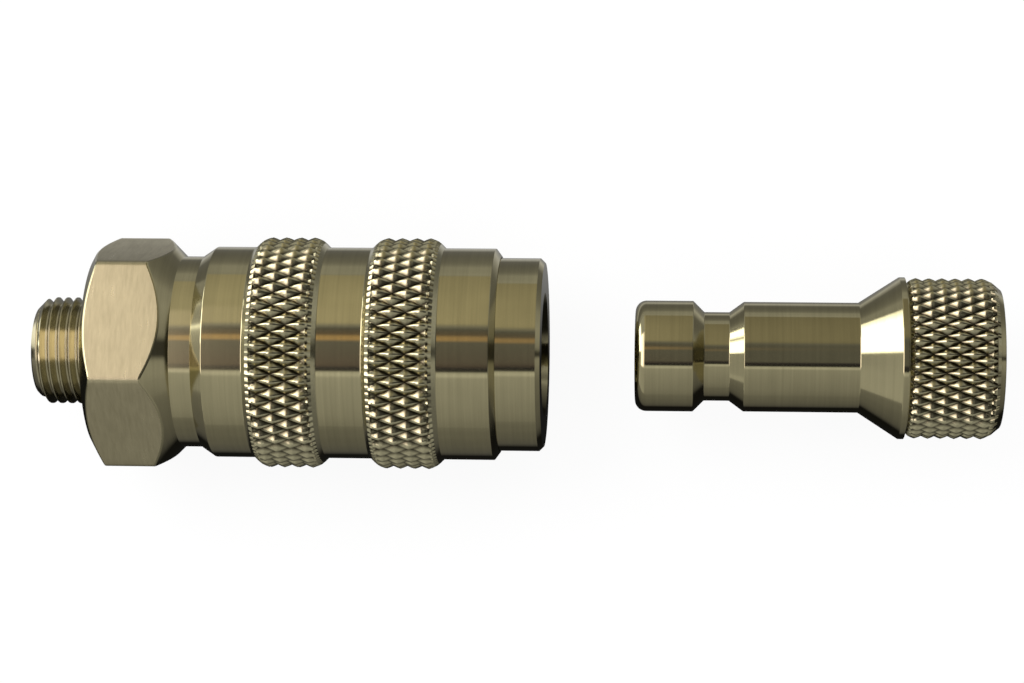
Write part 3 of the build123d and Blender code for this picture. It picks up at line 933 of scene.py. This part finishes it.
@dataclass
class ReleaseSleeve:
    """The release sleeve, turned from its outline, with two knurled bands.

    Attributes:
        wardrobe: where the materials come from.
        radius: outer radius between the bands.
        rear_bore: radius of the bore that runs on the adapter's collar.
        front_bore: radius of the bore that runs on the socket's nose.
        spring_chamber: radius of the room for the spring.
        ball_recess: radius that the balls stand out to when the sleeve is drawn back.
        ball_land: radius that holds the balls in when it is forward.
        ball_stroke: how far a ball moves between the two.
        ball_depth_from_mouth: distance from the socket's mouth to the balls' centres.
        ball_land_lead: how far the land reaches past those centres.
        travel: how far the sleeve slides.
        stop_gap: gap at each of its stops.
        nose_length: length of the socket's nose in front of its shoulder.
        rib_length: length of the rib between the recess and the spring's room.
        rear_chamfer: length of the outer chamfer at the rear.
        front_chamfer: length of the outer chamfer at the front.
        edge_land: width of the flat ring at each end.
        band_offsets: where the bands start, from the rear edge.
        band_width: width of a band with its bevels.
        band_bevel: length of a bevel.
        band_crest: radius at the points of the diamonds.
        band_depth: height of the diamonds.
        band_column_pitch: distance between columns of diamonds.
        band_diamonds: how many diamonds go round.
    """

    wardrobe: Wardrobe
    radius: float = 9.6
    rear_bore: float = 8.76
    front_bore: float = 8.81
    spring_chamber: float = 8.45
    ball_recess: float = 8.1
    ball_land: float = 7.25
    ball_stroke: float = 0.95
    ball_depth_from_mouth: float = 12.0
    ball_land_lead: float = 0.02
    travel: float = 2.4
    stop_gap: float = 0.05
    nose_length: float = 7.85
    rib_length: float = 7.2
    rear_chamfer: float = 1.1
    front_chamfer: float = 0.5
    edge_land: float = 0.1
    band_offsets: tuple[float, float] = (4.7, 15.3)
    band_width: float = 6.6
    band_bevel: float = 0.9
    band_crest: float = 10.5
    band_depth: float = 0.52
    band_column_pitch: float = 1.3
    band_diamonds: int = 50

    def build(self) -> None:
        """Turns the sleeve, knurls its bands and dresses it."""
        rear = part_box("release_sleeve")[0].x / MM
        bands = self._bands(rear)
        outline = [(rear, self.rear_bore), (rear, self.rear_bore + self.edge_land),
                   (rear + self.rear_chamfer, self.radius)]
        for band in bands:
            outline += [(band.start - self.band_bevel, self.radius),
                        (band.start, self.band_crest), (band.end, self.band_crest),
                        (band.end + self.band_bevel, self.radius)]
        outline += self._inside()
        turned = TurnedPiece("sleeve_knurled", outline, bands, self.radius + 2 * HAIR,
                             segments=self.band_diamonds * 8)
        piece = turned.build(self.wardrobe)
        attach(piece, "sleeve")
        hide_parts("release_sleeve")
        log.info("made %s", piece.name)

    def _bands(self, rear: float) -> tuple[Knurl, ...]:
        """Places the knurled bands.

        Args:
            rear: where the sleeve begins along the axis.

        Returns:
            The bands from rear to front.
        """
        return tuple(
            Knurl(rear + offset + self.band_bevel,
                  rear + offset + self.band_width - self.band_bevel,
                  self.band_bevel, self.band_bevel, self.band_crest, self.band_depth,
                  self.band_column_pitch, self.band_diamonds)
            for offset in self.band_offsets)

    def _inside(self) -> list[tuple[float, float]]:
        """Outlines the front end and the inside, with the ramp that presses the balls in.

        Returns:
            The points from the front chamfer back to the rear bore.
        """
        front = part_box("release_sleeve")[1].x / MM
        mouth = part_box("socket_body")[1].x / MM
        chamber_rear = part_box("adapter")[1].x / MM + self.stop_gap
        rib_front = mouth - self.nose_length - self.travel - self.stop_gap
        rib_rear = rib_front - self.rib_length
        land_front = mouth - self.ball_depth_from_mouth - self.travel + self.ball_land_lead
        ramp = (self.ball_recess - self.ball_land) * self.travel / self.ball_stroke
        return [
            (front - self.front_chamfer, self.radius),
            (front, self.front_bore + self.edge_land),
            (front, self.front_bore),
            (rib_front, self.front_bore),
            (rib_front, self.ball_recess),
            (land_front + ramp, self.ball_recess),
            (land_front, self.ball_land),
            (rib_rear, self.ball_land),
            (rib_rear, self.spring_chamber),
            (chamber_rear, self.spring_chamber),
            (chamber_rear, self.rear_bore),
        ]


@dataclass
class SocketHalf:
    """The socket: adapter, release sleeve, body and what they hold.

    Attributes:
        nodes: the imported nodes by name.
        wardrobe: where the materials come from.
    """

    nodes: dict[str, bpy.types.Object]
    wardrobe: Wardrobe

    def build(self) -> None:
        """Makes the detailed pieces and dresses the rest."""
        Adapter(self.wardrobe).build()
        ReleaseSleeve(self.wardrobe).build()
        finishes = {
            "socket_body": TURNED_PLATE,
            "valve_guide": TURNED_PLATE,
            "plug_seal": NITRILE,
            "body_gasket": NITRILE,
            "seal_backup_ring": FLUOROPOLYMER,
            "sleeve_spring": SPRING_WIRE,
        }
        for name, finish in finishes.items():
            self.wardrobe.dress(self.nodes[name], finish)
            log.info("dressed %s", name)


@dataclass
class PlugHalf:
    """The plug: one turned piece with a groove, a shank, a cone and a knurled head.

    Attributes:
        wardrobe: where the materials come from.
        tip_rounding: round on the tip's edge.
        tip_steps: facets along that round.
        land_radius: radius of the land between the tip and the groove.
        groove_front: distance from the tip to the locking groove.
        groove_bevel: length of the groove's front bevel.
        groove_floor: length of its floor.
        groove_rear_bevel: length of its rear bevel.
        groove_radius: radius of its floor.
        shank_radius: radius of the shank.
        shank_end: distance from the tip to the shank's end.
        cone_length: length of the cone behind the shank.
        head_radius: radius at the cone's wide end.
        head_land: width of the plain rim there.
        knurl_runout: gap between that rim and the knurl.
        knurl_radius: radius at the points of the diamonds.
        knurl_depth: height of the diamonds.
        knurl_bevel: length of the bevel before the knurl.
        neck_gap: how far the gap before the knurl lies under its grooves.
        column_pitch: distance between columns of diamonds.
        diamonds: how many diamonds go round.
        end_chamfer: length of the chamfer at the rear.
        plain_end: how much of that chamfer isn't knurled.
        end_radius: radius of the rear face.
        hole_radius: radius of the threaded hole in the rear.
        hole_depth: its depth.
        hole_chamfer: chamfer at its mouth.
        bore_radius: radius of the flow bore.
    """

    wardrobe: Wardrobe
    tip_rounding: float = 1.0
    tip_steps: int = 24
    land_radius: float = 5.0
    groove_front: float = 5.2
    groove_bevel: float = 1.0
    groove_floor: float = 2.25
    groove_rear_bevel: float = 1.3
    groove_radius: float = 4.0
    shank_radius: float = 4.95
    shank_end: float = 20.0
    cone_length: float = 3.6
    head_radius: float = 7.28
    head_land: float = 0.5
    knurl_runout: float = 0.15
    knurl_radius: float = 7.22
    knurl_depth: float = 0.48
    knurl_bevel: float = 0.4
    neck_gap: float = 0.03
    column_pitch: float = 1.17
    diamonds: int = 38
    end_chamfer: float = 1.2
    plain_end: float = 0.5
    end_radius: float = 6.2
    hole_radius: float = 4.283
    hole_depth: float = 8.5
    hole_chamfer: float = 0.7
    bore_radius: float = 2.75

    def build(self) -> None:
        """Turns the plug from its outline, knurls its head and dresses it."""
        low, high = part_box("plug_body")
        tip, rear = low.x / MM, high.x / MM
        floor_start = tip + self.groove_front + self.groove_bevel
        floor_end = floor_start + self.groove_floor
        cone_end = tip + self.shank_end + self.cone_length
        knurl_start = cone_end + self.head_land + self.knurl_runout
        knurl_end = rear - self.end_chamfer
        neck = self.knurl_radius - self.knurl_depth - self.neck_gap
        outline = self._tip_round(tip)
        outline += [
            (tip + self.groove_front, self.land_radius),
            (floor_start, self.groove_radius),
            (floor_end, self.groove_radius),
            (floor_end + self.groove_rear_bevel, self.shank_radius),
            (tip + self.shank_end, self.shank_radius),
            (cone_end, self.head_radius),
            (cone_end + self.head_land, self.head_radius),
            (cone_end + self.head_land, neck),
            (knurl_start, neck),
            (knurl_start + self.knurl_bevel, self.knurl_radius),
            (knurl_end, self.knurl_radius),
            (rear, self.end_radius),
            (rear, self.hole_radius + self.hole_chamfer),
            (rear - self.hole_chamfer, self.hole_radius),
            (rear - self.hole_depth, self.hole_radius),
            (rear - self.hole_depth, self.bore_radius),
            (tip, self.bore_radius),
        ]
        knurl = Knurl(knurl_start + self.knurl_bevel, knurl_end, self.knurl_bevel,
                      self.end_chamfer, self.knurl_radius, self.knurl_depth,
                      self.column_pitch, self.diamonds, self.plain_end)
        turned = TurnedPiece("plug_knurled", outline, (knurl,), neck + 2 * HAIR,
                             segments=self.diamonds * 8)
        piece = turned.build(self.wardrobe)
        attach(piece, "plug")
        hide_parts("plug_body")
        log.info("made %s", piece.name)

    def _tip_round(self, tip: float) -> list[tuple[float, float]]:
        """Outlines the round on the tip's edge.

        Args:
            tip: where the plug begins along the axis.

        Returns:
            The points from the tip's face to the land.
        """
        turns = [math.radians(90 * step / self.tip_steps)
                 for step in range(self.tip_steps + 1)]
        return [(tip + self.tip_rounding * (1 - math.cos(turn)),
                 self.land_radius - self.tip_rounding * (1 - math.sin(turn)))
                for turn in turns]


@dataclass
class ValveGroup:
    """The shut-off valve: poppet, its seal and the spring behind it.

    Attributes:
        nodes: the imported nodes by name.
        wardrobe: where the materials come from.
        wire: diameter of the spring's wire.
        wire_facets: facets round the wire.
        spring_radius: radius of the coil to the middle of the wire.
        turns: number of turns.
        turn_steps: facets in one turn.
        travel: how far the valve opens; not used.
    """

    nodes: dict[str, bpy.types.Object]
    wardrobe: Wardrobe
    wire: float = 0.8
    wire_facets: int = 16
    spring_radius: float = 3.3
    turns: float = 5.5
    turn_steps: int = 48
    travel: float = 3.01

    def build(self) -> None:
        """Dresses the poppet and its seal, and makes the valve spring."""
        self.wardrobe.dress(self.nodes["valve_poppet"], TURNED_PLATE)
        self.wardrobe.dress(self.nodes["valve_seal"], NITRILE)
        self._spring()

    def _spring(self) -> None:
        """Valve spring, a round wire spun along a helix."""
        low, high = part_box("valve_spring")
        start, length = low.x / MM, high.x / MM - low.x / MM
        steps = round(self.turn_steps * self.turns)
        rise = (length - self.wire) / steps
        bm = bmesh.new()
        ring = bmesh.ops.create_circle(bm, segments=self.wire_facets, radius=self.wire / 2,
                                       cap_ends=False)["verts"]
        place = Matrix.Translation((start + self.wire / 2, 0, self.spring_radius))
        bmesh.ops.transform(bm, matrix=place @ Matrix.Rotation(math.pi / 2, 4, "X"),
                            verts=ring)
        bmesh.ops.spin(bm, geom=bm.verts[:] + bm.edges[:], cent=CENTRE, axis=ALONG,
                       dvec=(rise, 0, 0), angle=FULL_TURN * self.turns, steps=steps)
        bmesh.ops.holes_fill(bm, edges=[e for e in bm.edges if e.is_boundary], sides=0)
        bmesh.ops.recalc_face_normals(bm, faces=bm.faces[:])
        piece = finish_mesh(bm, "valve_spring_coil")
        self.wardrobe.dress(piece, SPRING_WIRE)
        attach(piece, "socket")
        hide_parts("valve_spring")
        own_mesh(piece)
        log.info("made %s", piece.name)


@dataclass
class LockingBalls:
    """The balls that lock the plug in the socket.

    Attributes:
        nodes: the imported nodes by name.
        wardrobe: where the materials come from.
        fineness: how often the round ball's faces are divided.
    """

    nodes: dict[str, bpy.types.Object]
    wardrobe: Wardrobe
    fineness: int = 4

    def build(self) -> None:
        """Replaces each faceted ball with a round one of the same size."""
        for name in sorted(n for n in self.nodes if n.startswith("locking_ball_")):
            low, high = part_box(name)
            bm = bmesh.new()
            bmesh.ops.create_icosphere(bm, subdivisions=self.fineness,
                                       radius=(high.x - low.x) / 2 / MM)
            bmesh.ops.translate(bm, vec=(low + high) / 2 / MM, verts=bm.verts[:])
            piece = finish_mesh(bm, name.replace("locking", "lapped"))
            self.wardrobe.dress(piece, LAPPED_STEEL)
            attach(piece, name.replace("locking_", ""))
            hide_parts(name)
            log.info("made %s", piece.name)


class Measures(Enum):
    """How a place on a glowing stage piece is measured, along and across the coupling."""

    DIRECTION = "share of the way towards the plug's end, and degrees about the axis"
    PLACE = "millimetres along and across the table"


@dataclass(frozen=True)
class Stop:
    """The light at one place across a zone.

    Attributes:
        place: how far across, in degrees or millimetres.
        strength: strength of the light.
        colour: its sRGB hex value.
    """

    place: float
    strength: float
    colour: str = "FFFFFF"


@dataclass(frozen=True)
class Zone:
    """One zone of reflected light.

    Attributes:
        starts: where along the coupling the zone begins to show.
        full: where it shows fully.
        stops: the light across the zone, in rising order of place.
    """

    starts: float
    full: float
    stops: tuple[Stop, ...]

    def ramp(self, tree: bpy.types.NodeTree,
             across: bpy.types.NodeSocket) -> bpy.types.NodeSocket:
        """Builds the zone's light across the coupling.

        Args:
            tree: the node tree that gets the ramp.
            across: the socket that tells how far across a place is.

        Returns:
            The socket with the zone's colour.
        """
        first, last = self.stops[0].place, self.stops[-1].place
        share = add_node(tree, "ShaderNodeMapRange",
                         values={"From Min": first, "From Max": last},
                         links={"Value": across})
        ramp = add_node(tree, "ShaderNodeValToRGB", links={"Fac": share.outputs["Result"]})
        elements = ramp.color_ramp.elements
        for index, stop in enumerate(self.stops):
            position = (stop.place - first) / (last - first)
            element = elements[index] if index < 2 else elements.new(position)
            element.position = position
            element.color = [c * stop.strength for c in linear_colour(stop.colour)[:3]] + [1.0]
        return ramp.outputs["Color"]


# What the metal sees above the table. Across, 0 degrees is straight up and 90 is the far
# side of the table. Along, the zones run from the window beyond the thread, at -1, to the
# plug's end, at 1. The first zone lies under all others, so it needs no ends. The dark
# gap in the middle is the camera with its holder.
DOME_ZONES = (
    # Overhead: soft light on both sides of the camera.
    Zone(0.0, 0.0, (
        Stop(-94, 0.30), Stop(-75, 0.40), Stop(-45, 0.48), Stop(-30, 0.54),
        Stop(-27, 0.76), Stop(-24, 0.68), Stop(-22, 0.04), Stop(-19, 0.06, "E8E4FF"),
        Stop(-16.5, 0.16, "FFE8E8"), Stop(9, 0.18), Stop(11.5, 0.66, "FFD6A0"),
        Stop(14.5, 0.62, "FFD6A0"), Stop(17, 0.18, "FFE0C0"), Stop(23, 0.12),
        Stop(26, 0.30), Stop(30, 0.62, "FFF6DC"), Stop(60, 0.59, "FFF6DC"),
        Stop(94, 0.46, "FFF6DC"))),
    # Towards the plug: the same a little darker, without the warm line.
    Zone(-0.12, 0.05, (
        Stop(-94, 0.26), Stop(-75, 0.33), Stop(-45, 0.40), Stop(-30, 0.44),
        Stop(-27, 0.70), Stop(-24, 0.62), Stop(-22, 0.03), Stop(-16.5, 0.05, "E8E4FF"),
        Stop(-13, 0.16), Stop(20, 0.16), Stop(24, 0.20), Stop(28, 0.29, "FFF6DC"),
        Stop(33, 0.32, "FFF6DC"), Stop(60, 0.31, "FFF6DC"), Stop(94, 0.27, "FFF6DC"))),
    # Beyond the plug: the room's far end.
    Zone(0.25, 0.45, (
        Stop(-94, 0.30), Stop(-60, 0.44), Stop(-36, 0.42), Stop(-18, 0.06),
        Stop(25, 0.06), Stop(45, 0.34), Stop(94, 0.48))),
    # The window's frame, half as bright as its glass.
    Zone(-0.19, -0.24, (
        Stop(-94, 0.5), Stop(-29, 0.5), Stop(-25, 1.75, "FFF4F8"), Stop(45, 1.75, "FFF4F8"),
        Stop(50, 0.5), Stop(94, 0.5))),
    # The window itself, then its lower part, which only reaches the far side.
    Zone(-0.34, -0.44, (
        Stop(-94, 0.5), Stop(-29, 0.5), Stop(-25, 3.5, "FFF4F8"), Stop(45, 3.5, "FFF4F8"),
        Stop(50, 0.5), Stop(94, 0.5))),
    Zone(-0.65, -0.75, (Stop(-94, 0.56), Stop(7, 0.56), Stop(12, 4.5), Stop(94, 4.5))),
    Zone(-0.862, -0.88, (
        Stop(-94, 0.45), Stop(10, 0.45), Stop(16, 4.5), Stop(58, 4.5), Stop(66, 0.5),
        Stop(94, 0.5))),
    # The wall below the window.
    Zone(-0.945, -0.955, (Stop(-94, 0.45), Stop(94, 0.55))),
)

# What the metal sees of the table, across in millimetres: dark close by, lighter further
# away. Towards the thread the window shines on the table's far side.
NEAR_SIDE = (Stop(-300, 0.26), Stop(-63, 0.22), Stop(-31, 0.18), Stop(-24, 0.15),
             Stop(-19.5, 0.12), Stop(-17, 0.01), Stop(0, 0.01))
TABLE_ZONES = (
    Zone(0.0, 0.0, NEAR_SIDE + (
        Stop(12, 0.30), Stop(13, 0.60), Stop(15.5, 0.55), Stop(17.5, 0.18),
        Stop(26, 0.18), Stop(45, 0.25), Stop(70, 0.40), Stop(300, 0.44))),
    Zone(-24.0, -34.0, NEAR_SIDE + (
        Stop(4, 0.10), Stop(12, 2.2), Stop(28, 2.2), Stop(38, 0.40), Stop(300, 0.40))),
)


@dataclass
class Studio:
    """Floor, soft surround, lamp and the camera over the table.

    Attributes:
        floor_height: height of the floor in metres.
        camera_foot: where the camera stands over the axis, in millimetres.
        camera_aim: where it looks.
        camera_roll: its turn about its own axis in degrees.
        focal_length: focal length in millimetres.
        sensor_width: width of its sensor in millimetres.
        room_radius: radius in metres of the dome that the metal reflects.
        floor_glow: how far the floor shines by itself where it is seen, so that the
            object's shadow on it stays light.
        sheen_gap: how far in metres the table's reflected light lies over the floor.
        lamp_place: where the lamp hangs, in metres.
        lamp_aim: where it shines.
        lamp_size: its diameter in metres.
        lamp_power: its power in watts.
    """

    floor_height: float
    camera_foot: tuple[float, float, float] = (54.47, -13.29, 244.6)
    camera_aim: tuple[float, float, float] = (37.8, 1.18, 0.0)
    camera_roll: float = 0.76
    focal_length: float = 95.0
    sensor_width: float = 36.0
    room_radius: float = 3.0
    floor_glow: float = 0.9
    sheen_gap: float = 0.0002
    lamp_place: tuple[float, float, float] = (-0.15, 0.12, 0.35)
    lamp_aim: tuple[float, float, float] = (0.04, 0.0, 0.0)
    lamp_size: float = 0.25
    lamp_power: float = 0.6

    def build(self) -> None:
        """Sets up everything that isn't the object."""
        self._world()
        self._floor()
        self._room()
        sheen = self._table_top("table sheen", self.floor_height + self.sheen_gap)
        self._glow(sheen, Measures.PLACE, TABLE_ZONES)
        self._lamp()
        self._camera()

    def _world(self) -> None:
        """Even white light from everywhere."""
        world = bpy.data.worlds.new("white room")
        world.use_nodes = True
        background = world.node_tree.nodes["Background"]
        background.inputs["Color"].default_value = (1, 1, 1, 1)
        background.inputs["Strength"].default_value = 1.0
        bpy.context.scene.world = world

    def _table_top(self, name: str, height: float) -> bpy.types.Object:
        """Flat stage piece, far larger than the picture.

        Args:
            name: the piece's name.
            height: its height in metres.

        Returns:
            The piece, still without a material.
        """
        reach = self.room_radius
        bm = bmesh.new()
        bm.faces.new([bm.verts.new((x * reach, y * reach, height))
                      for x, y in ((-1, -1), (1, -1), (1, 1), (-1, 1))])
        mesh = bpy.data.meshes.new(name)
        bm.to_mesh(mesh)
        bm.free()
        card = bpy.data.objects.new(name, mesh)
        bpy.context.scene.collection.objects.link(card)
        card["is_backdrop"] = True
        return card

    def _floor(self) -> None:
        """White table top that keeps a light shadow."""
        floor = self._table_top("floor", self.floor_height)
        paper = bpy.data.materials.new("white paper")
        paper.use_nodes = True
        tree = paper.node_tree
        surface = tree.nodes["Principled BSDF"]
        surface.inputs["Base Color"].default_value = (0.97, 0.97, 0.97, 1)
        surface.inputs["Roughness"].default_value = 0.9
        surface.inputs["Specular IOR Level"].default_value = 0.0
        ray = add_node(tree, "ShaderNodeLightPath").outputs
        seen = add_node(tree, "ShaderNodeMath", {"operation": "ADD"},
                        links={0: ray["Is Camera Ray"], 1: ray["Is Glossy Ray"]})
        shown = add_node(tree, "ShaderNodeMath", {"operation": "ADD"},
                         links={0: seen.outputs[0], 1: ray["Is Transmission Ray"]})
        share = add_node(tree, "ShaderNodeMath", {"operation": "MULTIPLY"},
                         {1: self.floor_glow}, {0: shown.outputs[0]})
        white = add_node(tree, "ShaderNodeEmission", values={"Color": (1, 1, 1, 1)})
        both = add_node(tree, "ShaderNodeMixShader",
                        links={0: share.outputs[0], 1: surface.outputs["BSDF"],
                               2: white.outputs["Emission"]})
        tree.links.new(both.outputs[0], tree.nodes["Material Output"].inputs["Surface"])
        floor.data.materials.append(paper)

    def _glow(self, card: bpy.types.Object, measures: Measures,
              zones: tuple[Zone, ...]) -> None:
        """Gives a stage piece light that only reflections see and that changes over it.

        Args:
            card: the stage piece.
            measures: how a place on the piece is measured.
            zones: the zones of light, each laid over the ones before it.
        """
        card.visible_camera = False
        card.visible_diffuse = False
        card.visible_transmission = False
        card.visible_shadow = False
        light = bpy.data.materials.new(card.name + " light")
        light.use_nodes = True
        tree = light.node_tree
        tree.nodes.clear()
        along, across = self._measured(tree, measures)
        colour = zones[0].ramp(tree, across)
        for zone in zones[1:]:
            weight = add_node(tree, "ShaderNodeMapRange",
                              values={"From Min": zone.starts, "From Max": zone.full},
                              links={"Value": along})
            laid = add_node(tree, "ShaderNodeMix", {"data_type": "RGBA"},
                            links={"Factor": weight.outputs["Result"], "A": colour,
                                   "B": zone.ramp(tree, across)})
            colour = laid.outputs["Result"]
        shine = add_node(tree, "ShaderNodeEmission", links={"Color": colour})
        add_node(tree, "ShaderNodeOutputMaterial",
                 links={"Surface": shine.outputs["Emission"]})
        card.data.materials.append(light)

    def _measured(self, tree: bpy.types.NodeTree, measures: Measures
                  ) -> tuple[bpy.types.NodeSocket, bpy.types.NodeSocket]:
        """Works out where on a stage piece a point is.

        Args:
            tree: the node tree that gets the sums.
            measures: how the place is measured.

        Returns:
            The sockets that tell how far along and how far across it is.
        """
        place = add_node(tree, "ShaderNodeTexCoord").outputs["Object"]
        parts = add_node(tree, "ShaderNodeSeparateXYZ", links={"Vector": place}).outputs
        if measures is Measures.DIRECTION:
            far = add_node(tree, "ShaderNodeVectorMath", {"operation": "LENGTH"},
                           links={0: place})
            along = add_node(tree, "ShaderNodeMath", {"operation": "DIVIDE"},
                             links={0: parts["X"], 1: far.outputs["Value"]})
            turn = add_node(tree, "ShaderNodeMath", {"operation": "ARCTAN2"},
                            links={0: parts["Y"], 1: parts["Z"]})
            across = add_node(tree, "ShaderNodeMath", {"operation": "DEGREES"},
                              links={0: turn.outputs[0]})
            return along.outputs[0], across.outputs[0]
        along, across = (add_node(tree, "ShaderNodeMath", {"operation": "DIVIDE"}, {1: MM},
                                  {0: parts[axis]}) for axis in ("X", "Y"))
        return along.outputs[0], across.outputs[0]

    def _room(self) -> None:
        """Dome over the table: soft light, the dark camera above and a window at the left."""
        bm = bmesh.new()
        bmesh.ops.create_uvsphere(bm, u_segments=96, v_segments=48, radius=self.room_radius)
        bmesh.ops.bisect_plane(bm, geom=bm.verts[:] + bm.edges[:] + bm.faces[:],
                               plane_co=(0, 0, self.floor_height), plane_no=(0, 0, 1),
                               clear_inner=True)
        mesh = bpy.data.meshes.new("room")
        bm.to_mesh(mesh)
        bm.free()
        dome = bpy.data.objects.new("room", mesh)
        bpy.context.scene.collection.objects.link(dome)
        dome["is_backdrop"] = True
        self._glow(dome, Measures.DIRECTION, DOME_ZONES)

    def _lamp(self) -> None:
        """One soft lamp that gives the floor its shadow and the rubber its sheen."""
        lamp = bpy.data.lights.new("soft lamp", "AREA")
        lamp.shape = "DISK"
        lamp.size = self.lamp_size
        lamp.energy = self.lamp_power
        holder = bpy.data.objects.new("soft lamp", lamp)
        holder.location = self.lamp_place
        holder.rotation_mode = "QUATERNION"
        aim = Vector(self.lamp_aim) - holder.location
        holder.rotation_quaternion = aim.to_track_quat("-Z", "Y")
        holder.visible_glossy = False
        bpy.context.scene.collection.objects.link(holder)

    def _camera(self) -> None:
        """Camera over the table, looking almost straight down."""
        data = bpy.data.cameras.new("camera")
        data.lens = self.focal_length
        data.sensor_width = self.sensor_width
        data.clip_start, data.clip_end = 0.01, 10.0
        camera = bpy.data.objects.new("camera", data)
        foot, aim = Vector(self.camera_foot) * MM, Vector(self.camera_aim) * MM
        camera.location = foot
        camera.rotation_mode = "QUATERNION"
        look = (aim - foot).normalized()
        across = look.cross(Vector((0, 1, 0))).normalized()
        level = Matrix((across, across.cross(look), -look)).transposed()
        roll = Matrix.Rotation(math.radians(self.camera_roll), 3, "Z")
        camera.rotation_quaternion = (level @ roll).to_quaternion()
        bpy.context.scene.collection.objects.link(camera)
        bpy.context.scene.camera = camera


def main() -> None:
    """Loads the frame, builds each sub-assembly in turn and sets up the studio."""
    logging.basicConfig(level=logging.INFO, format="%(name)s: %(message)s")
    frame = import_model()
    packed_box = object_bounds()
    wardrobe = Wardrobe()
    SocketHalf(frame["nodes"], wardrobe).build()
    PlugHalf(wardrobe).build()
    ValveGroup(frame["nodes"], wardrobe).build()
    LockingBalls(frame["nodes"], wardrobe).build()
    Studio(floor_height=packed_box[0].z).build()
    bpy.context.scene.view_settings.view_transform = "Standard"


if __name__ == "__main__":
    main()
